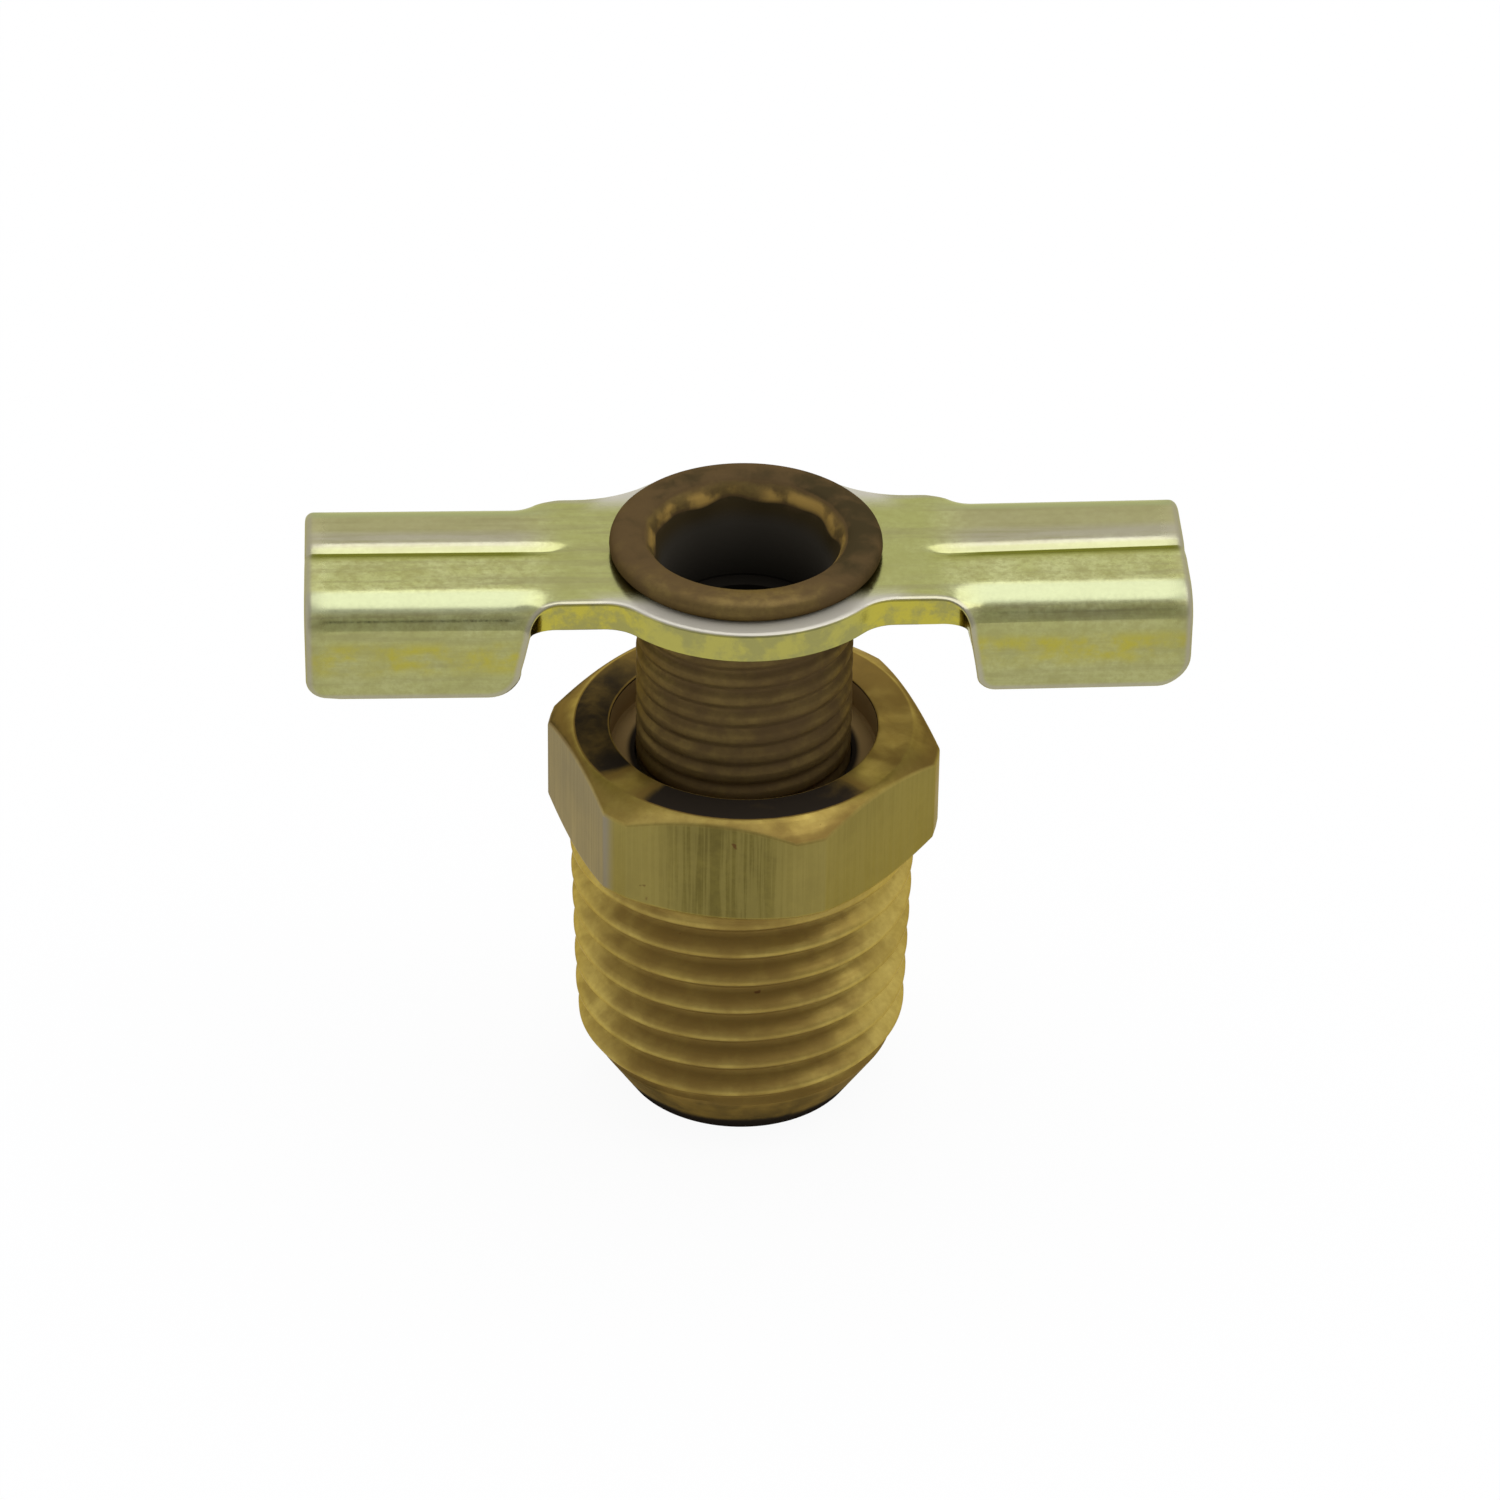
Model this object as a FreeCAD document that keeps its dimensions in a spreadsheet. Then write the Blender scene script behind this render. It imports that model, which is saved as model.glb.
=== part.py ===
"""Drain cock: a brass pipe plug with a hollow screw stem turned by a pressed wing handle.

Sizes are in millimetres. The axis of the screw is Z, the body stands on its nose at Z = 0,
and the wings of the closed handle lie along X.
"""
import os

import FreeCAD
import Part
import Sketcher

# Places nearer than this count as the same.
TOUCH = 1e-3

# Driving sizes, one independent size to a line: alias, value, what it is.
DRIVING_SIZES = [
    ("hex_across_flats", "14.29", "9/16 in hexagon bar"),
    ("hex_across_corners", "15.84", "bar corners, turned round"),
    ("hex_turn", "-12.7", "angle of one hexagon corner from the wings, degrees"),
    ("hex_length", "4.7", "hexagon from its underside to the top face"),
    ("hex_bevel", "30", "bevel of the hexagon's ends, degrees"),
    ("body_height", "16.8", "nose to top face"),
    ("top_face_dia", "13.6", "flat ring inside the top bevel"),
    ("pipe_dia", "13.26", "1/4-18 taper pipe thread, over the crests at the small end"),
    ("pipe_taper", "16", "taper of the thread, one in this many on the diameter"),
    ("nose_length", "3.0", "bevelled lead of the thread"),
    ("nose_dia", "9.6", "flat end of the nose"),
    ("cup_dia", "10.74", "recess round the stem in the top face"),
    ("cup_depth", "1.3", "depth of that recess"),
    ("inlet_dia", "4.4", "hole through the nose"),
    ("inlet_length", "2.6", "straight part of the inlet, up to the seat"),
    ("stem_dia", "8.66", "screw of the stem, over the crests"),
    ("screw_clearance", "0.05", "radial play of the screw in the body"),
    ("seat_clearance", "0.05", "gap between nose cone and seat when closed"),
    ("cone_tip_dia", "2.6", "blunt tip of the stem's cone"),
    ("relief_dia", "6.8", "plain shank below the screw, with the ports"),
    ("relief_top", "7.2", "lower end of the screw above the nose"),
    ("screw_lead_in", "0.5", "bevel at the lower end of the screw"),
    ("port_dia", "2.2", "cross hole into the hollow stem"),
    ("port_height", "5.7", "centre of the cross hole above the nose"),
    ("drain_dia", "5.2", "bore of the hollow stem"),
    ("drain_end", "4.9", "bottom of the full bore above the nose"),
    ("drill_point", "31", "slope of the drilled bottom, degrees"),
    ("throat_dia", "6.6", "thin wall at the top, left for rolling the rim"),
    ("throat_depth", "4.2", "depth of that wider bore below the rim"),
    ("mouth_dia", "7.8", "opening of the rolled rim"),
    ("mouth_depth", "1.1", "funnel from the opening to the throat"),
    ("rim_dia", "10.8", "rolled rim over the handle"),
    ("rim_thickness", "0.8", "thickness of the rolled rim"),
    ("rim_round", "0.24", "round of the rim's outer edge"),
    ("neck_dia", "8.0", "stem inside the handle's eye"),
    ("neck_clearance", "0.05", "radial play of the neck in the eye"),
    ("seat_play", "0.03", "play of the handle under the rim and over the shoulder"),
    ("handle_rise", "7.0", "body top to the underside of the handle"),
    ("sheet", "1.25", "thickness of the handle's steel"),
    ("eye_dia", "12.4", "round eye of the handle"),
    ("web_width", "7.6", "waist between the eye and a wing"),
    ("eye_blend", "2.4", "round between the eye and the waist"),
    ("wing_span", "34.8", "tip to tip"),
    ("wing_width", "8.2", "outside width of a folded wing"),
    ("wing_start", "8.6", "inner end of the folded sides from the axis"),
    ("wing_drop", "4.2", "plate top to the lower edge of a folded side"),
    ("bend_radius", "1.5", "outside radius of the fold"),
    ("inner_bend_radius", "0.2", "inside radius of the fold"),
    ("corner_round", "1.2", "rounded corners of the folded sides"),
    ("notch_round", "1.1", "round between a folded side and the waist"),
    ("crease_width", "0.9", "pressed groove along a wing"),
    ("crease_depth", "0.32", "depth of that groove"),
    ("crease_start", "7.0", "inner end of the groove from the axis"),
]

# Sizes that follow from the driving ones: alias, formula.
DERIVED_SIZES = [
    ("flat_radius", "hex_across_flats / 2"),
    ("corner_radius", "hex_across_corners / 2"),
    ("bar_radius", "hex_across_flats / cos(30 deg) / 2"),
    ("waste_radius", "hex_across_flats"),
    ("hex_bottom", "body_height - hex_length"),
    ("top_face_radius", "top_face_dia / 2"),
    ("top_corner", "body_height - (corner_radius - top_face_radius) * tan(hex_bevel * 1 deg)"),
    ("pipe_top_radius", "pipe_dia / 2 + hex_bottom / pipe_taper / 2"),
    ("low_corner", "hex_bottom + (corner_radius - pipe_top_radius) * tan(hex_bevel * 1 deg)"),
    ("pipe_lead_radius", "pipe_dia / 2 + nose_length / pipe_taper / 2"),
    ("nose_radius", "nose_dia / 2"),
    ("cup_radius", "cup_dia / 2"),
    ("cup_bottom", "body_height - cup_depth"),
    ("inlet_radius", "inlet_dia / 2"),
    ("stem_radius", "stem_dia / 2"),
    ("bore_radius", "stem_radius + screw_clearance"),
    ("seat_top", "inlet_length + bore_radius - inlet_radius"),
    ("cone_tip_radius", "cone_tip_dia / 2"),
    ("relief_radius", "relief_dia / 2"),
    ("cone_offset", "inlet_length - inlet_radius + seat_clearance * sqrt(2)"),
    ("cone_tip", "cone_tip_radius + cone_offset"),
    ("cone_top", "relief_radius + cone_offset"),
    ("screw_start", "relief_top + screw_lead_in"),
    ("lead_radius", "stem_radius - screw_lead_in"),
    ("drain_radius", "drain_dia / 2"),
    ("drill_tip", "drain_end - drain_radius * tan(drill_point * 1 deg)"),
    ("plate_bottom", "body_height + handle_rise"),
    ("plate_top", "plate_bottom + sheet"),
    ("shoulder", "plate_bottom - seat_play"),
    ("rim_bottom", "plate_top + seat_play"),
    ("rim_top", "rim_bottom + rim_thickness"),
    ("rim_radius", "rim_dia / 2"),
    ("neck_radius", "neck_dia / 2"),
    ("mouth_radius", "mouth_dia / 2"),
    ("throat_radius", "throat_dia / 2"),
    ("throat_top", "rim_top - mouth_depth"),
    ("throat_bottom", "rim_top - throat_depth"),
    ("eye_radius", "eye_dia / 2"),
    ("eye_hole_radius", "neck_radius + neck_clearance"),
    ("web_half", "web_width / 2"),
    ("wing_tip", "wing_span / 2"),
    ("wing_half", "wing_width / 2"),
    ("wing_inside", "wing_half - sheet"),
    ("fold_start", "wing_start - notch_round"),
    ("trim_start", "fold_start - sheet"),
    ("wing_length", "wing_tip - fold_start"),
    ("wing_bottom", "plate_top - wing_drop"),
    ("crease_half", "crease_width / 2"),
    ("crease_bottom", "plate_top - crease_depth"),
    ("crease_length", "wing_tip - crease_start"),
    ("below_wing", "wing_bottom - sheet"),
    ("past_tip", "wing_tip + sheet"),
    ("tip_corner", "wing_bottom + corner_round"),
]


def write_sizes(doc):
    """The sheet that every feature is bound to."""
    sheet = doc.addObject("Spreadsheet::Sheet", "Sizes")
    row = 1
    for alias, value, note in DRIVING_SIZES:
        sheet.set("A%d" % row, note)
        sheet.set("B%d" % row, value)
        sheet.setAlias("B%d" % row, alias)
        row += 1
    doc.recompute()
    for alias, formula in DERIVED_SIZES:
        sheet.set("A%d" % row, alias.replace("_", " "))
        sheet.set("B%d" % row, "=" + formula)
        sheet.setAlias("B%d" % row, alias)
        doc.recompute()
        row += 1
    return sheet


def size(sheet, formula):
    """The number a formula of the sheet's names comes to now."""
    value = sheet.evalExpression(formula)
    return float(getattr(value, "Value", value))


def bound(formula):
    """A formula of the sheet's names as it reads from another object."""
    names = [alias for alias, *rest in DRIVING_SIZES + DERIVED_SIZES]
    words = formula.split(" ")
    return " ".join("Sizes." + word if word in names else word for word in words)


def new_body(doc, name):
    body = doc.addObject("PartDesign::Body", name)
    body.Label = name
    return body


def origin_plane(body, role):
    return next(part for part in body.Origin.OriginFeatures if part.Role == role)


def new_sketch(body, role, name, offset=None, turn=None):
    """A sketch on one of the body's own planes, shifted or turned by a named size."""
    sketch = body.newObject("Sketcher::SketchObject", name)
    sketch.AttachmentSupport = [(origin_plane(body, role), "")]
    sketch.MapMode = "FlatFace"
    if offset:
        sketch.setExpression("AttachmentOffset.Base.z", bound(offset))
    if turn:
        sketch.setExpression("AttachmentOffset.Rotation.Angle", bound(turn) + " * 1 deg")
    return sketch


def place(sketch, geometry, end, value, axis, formula):
    """Hold one coordinate of a point: on the axis where it is zero, else at a named size."""
    if formula == "0":
        sketch.addConstraint(Sketcher.Constraint("PointOnObject", geometry, end, axis))
        return
    kind = "DistanceX" if axis == -2 else "DistanceY"
    index = sketch.addConstraint(Sketcher.Constraint(kind, -1, 1, geometry, end, value))
    sketch.setExpression("Constraints[%d]" % index, bound(formula))


def side(here, there):
    """Sign of the way from one coordinate to another."""
    if abs(there - here) < 1e-9:
        return 0
    return 1 if there > here else -1


def stepped(formula, way, radius):
    """A coordinate moved by a radius to one side."""
    if way == 0:
        return formula
    mark = "+" if way > 0 else "-"
    return radius if formula == "0" and way > 0 else "%s %s %s" % (formula, mark, radius)


def outline(sheet, sketch, corners):
    """A closed outline through corners (x, y), or (x, y, radius) for a square corner made round."""
    numbers = [(size(sheet, c[0]), size(sheet, c[1])) for c in corners]
    count = len(corners)
    ends = []
    for i, corner in enumerate(corners):
        x, y = numbers[i]
        if len(corner) == 2:
            ends.append([(corner[0], corner[1])])
            continue
        before, after = numbers[i - 1], numbers[(i + 1) % count]
        radius = corner[2]
        ends.append([
            (stepped(corner[0], side(x, way[0]), radius), stepped(corner[1], side(y, way[1]), radius))
            for way in (before, after)
        ])

    def vector(point):
        return FreeCAD.Vector(size(sheet, point[0]), size(sheet, point[1]), 0)

    pieces = []
    for i, corner in enumerate(corners):
        if len(corner) == 3:
            first, last = vector(ends[i][0]), vector(ends[i][1])
            tip = FreeCAD.Vector(numbers[i][0], numbers[i][1], 0)
            centre = first + last - tip
            away = (tip - centre).normalize() * size(sheet, corner[2])
            pieces.append((Part.Arc(first, centre + away, last), ends[i][0], ends[i][1], corner[2]))
        start, stop = ends[i][-1], ends[(i + 1) % count][0]
        pieces.append((Part.LineSegment(vector(start), vector(stop)), start, stop, None))
    added = [sketch.addGeometry(piece[0], False) for piece in pieces]
    tips = []
    for index, piece in zip(added, pieces):
        first = vector(piece[1])
        starts_first = sketch.getPoint(index, 1).distanceToPoint(first) < 1e-6
        tips.append((1, 2) if starts_first else (2, 1))
    for k, index in enumerate(added):
        follower = (k + 1) % len(added)
        sketch.addConstraint(Sketcher.Constraint(
            "Coincident", index, tips[k][1], added[follower], tips[follower][0]))
    for index, tip, piece in zip(added, tips, pieces):
        point = vector(piece[1])
        place(sketch, index, tip[0], point.x, -2, piece[1][0])
        place(sketch, index, tip[0], point.y, -1, piece[1][1])
        if piece[3]:
            radius = sketch.addConstraint(Sketcher.Constraint("Radius", index, size(sheet, piece[3])))
            sketch.setExpression("Constraints[%d]" % radius, bound(piece[3]))


def circle(sheet, sketch, radius, height="0"):
    """A circle on the sketch's upright axis."""
    centre = FreeCAD.Vector(0, size(sheet, height), 0)
    index = sketch.addGeometry(Part.Circle(centre, FreeCAD.Vector(0, 0, 1), size(sheet, radius)), False)
    place(sketch, index, 3, 0.0, -2, "0")
    place(sketch, index, 3, centre.y, -1, height)
    held = sketch.addConstraint(Sketcher.Constraint("Radius", index, size(sheet, radius)))
    sketch.setExpression("Constraints[%d]" % held, bound(radius))


def revolution(body, sketch, name):
    turned = body.newObject("PartDesign::Revolution", name)
    turned.Profile = sketch
    turned.ReferenceAxis = (sketch, ["V_Axis"])
    turned.Angle = 360
    body.Tip = turned
    return turned


def pad(body, sketch, name, length):
    grown = body.newObject("PartDesign::Pad", name)
    grown.Profile = sketch
    grown.setExpression("Length", bound(length))
    body.Tip = grown
    return grown


def pocket(body, sketch, name, length, both_ways=False):
    """A cut, which has to take material away."""
    before = body.Shape.Volume
    cut = body.newObject("PartDesign::Pocket", name)
    cut.Profile = sketch
    cut.setExpression("Length", bound(length))
    if both_ways:
        cut.SideType = "Symmetric"
    else:
        cut.Reversed = True
    body.Tip = cut
    body.Document.recompute()
    if not cut.Shape.Volume < before - 1e-6:
        raise RuntimeError(name + " removes nothing")
    return cut


def mirrored(body, feature, role, name):
    """The same feature on the other side of one of the body's planes."""
    twin = body.newObject("PartDesign::Mirrored", name)
    twin.Originals = [feature]
    twin.MirrorPlane = (origin_plane(body, role), [""])
    body.Tip = twin
    return twin


def blend_eye(body, sheet, strip):
    """Round the four inside corners where the waists leave the eye."""
    reach, half = size(sheet, "eye_radius"), size(sheet, "web_half")
    names = []
    for number, edge in enumerate(strip.Shape.Edges, 1):
        ends = [vertex.Point for vertex in edge.Vertexes]
        upright = len(ends) == 2 and abs(ends[0].z - ends[1].z) > size(sheet, "sheet") * 0.9
        middle = edge.CenterOfMass
        on_eye = abs(FreeCAD.Vector(middle.x, middle.y, 0).Length - reach) < TOUCH
        if upright and on_eye and abs(abs(middle.y) - half) < TOUCH:
            names.append("Edge%d" % number)
    if len(names) != 4:
        raise RuntimeError("the eye meets its waists at %d corners" % len(names))
    blend = body.newObject("PartDesign::Fillet", "eye_blends")
    blend.Base = (strip, names)
    blend.setExpression("Radius", bound("eye_blend"))
    body.Tip = blend
    return blend


def valve_body(doc, sheet):
    """Turned from hexagon bar: bevelled hexagon, taper pipe shank, screw bore and conical seat."""
    body = new_body(doc, "valve_body")
    turned = new_sketch(body, "XZ_Plane", "body_section")
    outline(sheet, turned, [
        ("inlet_radius", "0"),
        ("nose_radius", "0"),
        ("pipe_lead_radius", "nose_length"),
        ("pipe_top_radius", "hex_bottom"),
        ("corner_radius", "low_corner"),
        ("corner_radius", "top_corner"),
        ("top_face_radius", "body_height"),
        ("cup_radius", "body_height"),
        ("cup_radius", "cup_bottom"),
        ("bore_radius", "cup_bottom"),
        ("bore_radius", "seat_top"),
        ("inlet_radius", "inlet_length"),
    ])
    revolution(body, turned, "turned_bar")
    doc.recompute()
    flats = new_sketch(body, "XY_Plane", "hexagon_flats", "hex_bottom", "hex_turn")
    circle(sheet, flats, "waste_radius")
    hexagon = [
        ("bar_radius", "0"),
        ("bar_radius * 0.5", "flat_radius"),
        ("bar_radius * -0.5", "flat_radius"),
        ("bar_radius * -1", "0"),
        ("bar_radius * -0.5", "flat_radius * -1"),
        ("bar_radius * 0.5", "flat_radius * -1"),
    ]
    outline(sheet, flats, hexagon)
    pocket(body, flats, "flats_cut", "hex_length")
    return body


def stem(doc, sheet):
    """Turned hollow screw with a closed cone nose, cross ports and a rim rolled over the handle."""
    body = new_body(doc, "stem")
    section = new_sketch(body, "XZ_Plane", "stem_section")
    outline(sheet, section, [
        ("0", "cone_tip"),
        ("cone_tip_radius", "cone_tip"),
        ("relief_radius", "cone_top"),
        ("relief_radius", "relief_top"),
        ("lead_radius", "relief_top"),
        ("stem_radius", "screw_start"),
        ("stem_radius", "shoulder"),
        ("neck_radius", "shoulder"),
        ("neck_radius", "rim_bottom"),
        ("rim_radius", "rim_bottom", "rim_round"),
        ("rim_radius", "rim_top", "rim_round"),
        ("mouth_radius", "rim_top"),
        ("throat_radius", "throat_top"),
        ("throat_radius", "throat_bottom"),
        ("drain_radius", "throat_bottom"),
        ("drain_radius", "drain_end"),
        ("0", "drill_tip"),
    ])
    revolution(body, section, "turned_stem")
    doc.recompute()
    port = new_sketch(body, "YZ_Plane", "port_circle")
    circle(sheet, port, "port_dia / 2", "port_height")
    pocket(body, port, "cross_port", "stem_dia", both_ways=True)
    return body


def wing_handle(doc, sheet):
    """Pressed from one steel strip: flat eye and waists, each end folded down into a creased wing."""
    body = new_body(doc, "wing_handle")
    eye = new_sketch(body, "XY_Plane", "eye_outline", "plate_bottom")
    circle(sheet, eye, "eye_radius")
    pad(body, eye, "eye_plate", "sheet")
    doc.recompute()

    fold = new_sketch(body, "YZ_Plane", "wing_section", "fold_start")
    outline(sheet, fold, [
        ("wing_half * -1", "wing_bottom"),
        ("wing_half * -1", "plate_top", "bend_radius"),
        ("wing_half", "plate_top", "bend_radius"),
        ("wing_half", "wing_bottom"),
        ("wing_inside", "wing_bottom"),
        ("wing_inside", "plate_bottom", "inner_bend_radius"),
        ("wing_inside * -1", "plate_bottom", "inner_bend_radius"),
        ("wing_inside * -1", "wing_bottom"),
    ])
    waist = new_sketch(body, "XY_Plane", "waist_outline", "plate_bottom")
    outline(sheet, waist, [
        ("fold_start * -1", "web_half * -1"),
        ("fold_start", "web_half * -1"),
        ("fold_start", "web_half"),
        ("fold_start * -1", "web_half"),
    ])
    strip = pad(body, waist, "waist_plate", "sheet")
    doc.recompute()
    blend_eye(body, sheet, strip)
    doc.recompute()
    folded = pad(body, fold, "right_wing", "wing_length")
    doc.recompute()
    mirrored(body, folded, "YZ_Plane", "left_wing")
    doc.recompute()

    trim = new_sketch(body, "XZ_Plane", "side_trim")
    outline(sheet, trim, [
        ("trim_start", "below_wing"),
        ("trim_start", "plate_bottom"),
        ("wing_start", "plate_bottom", "notch_round"),
        ("wing_start", "wing_bottom", "corner_round"),
        ("wing_tip", "wing_bottom", "corner_round"),
        ("wing_tip", "tip_corner + corner_round"),
        ("past_tip", "tip_corner + corner_round"),
        ("past_tip", "below_wing"),
    ])
    trimmed = pocket(body, trim, "right_trim", "wing_width + sheet", both_ways=True)
    mirrored(body, trimmed, "YZ_Plane", "left_trim")
    doc.recompute()

    groove = new_sketch(body, "YZ_Plane", "crease_section", "crease_start")
    outline(sheet, groove, [
        ("crease_half * -1", "plate_top"),
        ("0", "crease_bottom"),
        ("crease_half", "plate_top"),
    ])
    pressed = pocket(body, groove, "right_crease", "crease_length")
    mirrored(body, pressed, "YZ_Plane", "left_crease")
    doc.recompute()

    hole = new_sketch(body, "XY_Plane", "eye_hole", "plate_bottom")
    circle(sheet, hole, "eye_hole_radius")
    pocket(body, hole, "eye_cut", "sheet")
    return body


document = FreeCAD.newDocument("drain_cock")
sizes = write_sizes(document)
pieces = [valve_body(document, sizes), stem(document, sizes), wing_handle(document, sizes)]
document.recompute()
for item in document.Objects:
    if "Invalid" in item.State or "Error" in item.State:
        raise RuntimeError("%s is %s" % (item.Name, item.State))
os.makedirs("parts", exist_ok=True)
for piece in pieces:
    solid = piece.Shape
    if not solid.isValid() or len(solid.Solids) != 1:
        raise RuntimeError(piece.Label + " is not one valid solid")
    print(piece.Label, "volume", round(solid.Volume, 3), "box", solid.BoundBox)
    solid.exportStep("parts/%s.step" % piece.Label)
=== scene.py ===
import math

import bpy
from mathutils import Matrix, Vector


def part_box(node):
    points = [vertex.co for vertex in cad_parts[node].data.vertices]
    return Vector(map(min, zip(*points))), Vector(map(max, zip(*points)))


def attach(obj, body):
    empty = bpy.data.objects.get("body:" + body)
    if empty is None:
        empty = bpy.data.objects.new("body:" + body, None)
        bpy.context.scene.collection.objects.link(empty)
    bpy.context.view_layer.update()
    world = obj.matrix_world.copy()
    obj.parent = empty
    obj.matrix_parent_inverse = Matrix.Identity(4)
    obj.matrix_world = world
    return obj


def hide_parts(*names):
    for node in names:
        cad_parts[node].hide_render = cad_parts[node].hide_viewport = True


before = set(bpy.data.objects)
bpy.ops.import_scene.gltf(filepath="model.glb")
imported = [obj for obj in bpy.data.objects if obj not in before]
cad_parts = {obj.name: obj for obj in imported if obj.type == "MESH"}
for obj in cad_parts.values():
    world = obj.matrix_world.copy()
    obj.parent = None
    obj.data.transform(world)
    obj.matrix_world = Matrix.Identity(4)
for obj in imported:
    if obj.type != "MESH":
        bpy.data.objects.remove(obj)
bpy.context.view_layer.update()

# Valve body. One piece of hexagon brass bar, turned at both ends: a bevelled spanner hexagon with a shallow
# cup round the stem, and below it a taper pipe thread cut right up to the hexagon and bevelled at the nose.
MM = 0.001
WELD = 0.001 * MM
FULL_TURN = 2 * math.pi
SIXTH_TURN = math.radians(60)
VIEWED_FROM = math.radians(-93.1)
body_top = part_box("valve_body")[1].z
hex_underside = 12.1 * MM
hex_flat_radius = 14.29 / 2 * MM
hex_corner_radius = 15.84 / 2 * MM
hex_corner_bearing = math.radians(-12.7)
hex_bevel_slope = math.tan(math.radians(30))
top_face_radius = 6.8 * MM
cup_radius = 5.37 * MM
cup_floor = 15.5 * MM
cup_lit_width = 0.45 * MM
screw_bore_radius = 4.38 * MM
seat_top = 4.78 * MM
inlet_radius = 2.2 * MM
inlet_length = 2.6 * MM
inlet_edge = 0.1 * MM
pipe_radius = 13.26 / 2 * MM
pipe_taper = 1 / 32
pipe_pitch = 25.4 / 18 * MM
pipe_thread_depth = 0.7 * MM
pipe_crest_height = 10.21 * MM
pipe_crest_land = 0.12
pipe_root_land = 0.08
pipe_run_out = 0.5 * pipe_pitch
flank_hollow = 0.35
nose_radius = 4.8 * MM
nose_length = 3.0 * MM
nose_edge = 0.15 * MM
edge_break = 0.11 * MM
face_edge = 0.05 * MM

# Dirt and painted shade run from 0, bare brass, to 1, black; past 1 it is the cup's pale brown, painted light
# where the handle's eye shades the cup. A place of dirt, painted shade or painted light is an amount, a
# bearing in degrees and a width to each side.
# Black painted shade in the bores, on the cup's floor by the stem and on the stem's neck under its rim.
deep_shade = 1.0
# The cup is painted pale brown: painted light in place of the light the handle's eye keeps out.
cup_lit_level = 1.2
# Painted shade: darker over the nose and black at the foot, where the nose faces the shaded table under it.
foot_shade_fade = (0.2 * MM, 1.9 * MM)
nose_shade = 0.68
nose_shade_fade = (1.9 * MM, 3.0 * MM)
# Painted shade: the thread and its grooves are darkest on the side facing the camera.
thread_shade_places = ((0.42, -95, 62), (0.12, -165, 50))
groove_dirt = 0.02
groove_shade_places = ((0.04, -93, 58),)
# Painted highlight: a thin lighter line along the thread's crests.
crest_highlight = 0.16
crest_highlight_sharpness = 8
# The top face: dirt all over, with painted reflection of the stem and painted shade of the handle's eye
# strongest in front, and two painted highlights beside the stem.
top_dirt_and_shade = 0.24
top_dirt_and_shade_places = ((0.6, 178, 95), (0.82, -88, 70), (0.3, 45, 45))
top_highlight_places = ((0.9, -138, 12), (0.9, -38, 11))
bevel_dirt = 0.1
# Dirt on the upper bevel behind, and painted shade on its front right, where it faces the lamp.
bevel_dirt_and_shade_places = ((0.65, 160, 70), (0.5, 10, 50), (0.3, -72, 32))


def ease(value, low, high):
    """A soft step from 0 at the low end to 1 at the high end."""
    share = min(1.0, max(0.0, (value - low) / (high - low)))
    return share * share * (3 - 2 * share)


def wrapped_skin(name, bearings, rows):
    """A grid wrapped round the screw's axis: a row gives radius, height, dirt with painted shade, and a
    second finish, which in the stem's mouth is a painted lit band.
    """
    bpy.ops.object.select_all(action="DESELECT")
    bpy.ops.mesh.primitive_grid_add(x_subdivisions=len(bearings), y_subdivisions=len(rows) - 1, size=2)
    skin = bpy.context.object
    skin.name = skin.data.name = name
    dirt_and_shade = skin.data.attributes.new("dirt_and_shade", "FLOAT", "POINT")
    second = skin.data.attributes.new("second_finish_and_light", "FLOAT", "POINT")
    closed = [*bearings, bearings[0] + FULL_TURN]
    for vertex in skin.data.vertices:
        bearing = closed[round((vertex.co.x + 1) / 2 * len(bearings))]
        row = rows[round((vertex.co.y + 1) / 2 * (len(rows) - 1))]
        radius, height, dirt_and_shade_here, second_here = row(bearing)
        vertex.co = (radius * math.cos(bearing), radius * math.sin(bearing), height)
        dirt_and_shade.data[vertex.index].value = dirt_and_shade_here
        second.data[vertex.index].value = second_here
    bpy.ops.object.mode_set(mode="EDIT")
    bpy.ops.mesh.select_all(action="SELECT")
    bpy.ops.mesh.remove_doubles(threshold=WELD)
    bpy.ops.mesh.normals_make_consistent(inside=False)
    bpy.ops.object.mode_set(mode="OBJECT")
    bpy.ops.object.shade_smooth_by_angle(angle=math.radians(40))
    return skin


def ring(radius, height, dirt_and_shade=0.0, second=0.0):
    """A plain turned ring."""
    return lambda bearing: (radius, height, dirt_and_shade, second)


def thread_depth_at(phase, crest_land, root_land):
    """How far down the groove a point lies by its place in the pitch: 0 on the crest, 1 at the root."""
    from_crest = abs((phase + 0.5) % 1 - 0.5)
    flank = 0.5 - crest_land / 2 - root_land / 2
    straight = min(1.0, max(0.0, (from_crest - crest_land / 2) / flank))
    return (1 - flank_hollow) * straight + flank_hollow * ease(straight, 0, 1)


def lies_near(bearing, centre, width):
    """1 at a bearing given in degrees, fading to 0 this many degrees to each side."""
    off = (math.degrees(bearing) - centre + 180) % 360 - 180
    return max(0.0, 1 - (off / width) ** 2)


def gathered(bearing, places):
    """How much lies at a bearing, summed over the places."""
    return sum(amount * lies_near(bearing, centre, width) for amount, centre, width in places)


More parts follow.
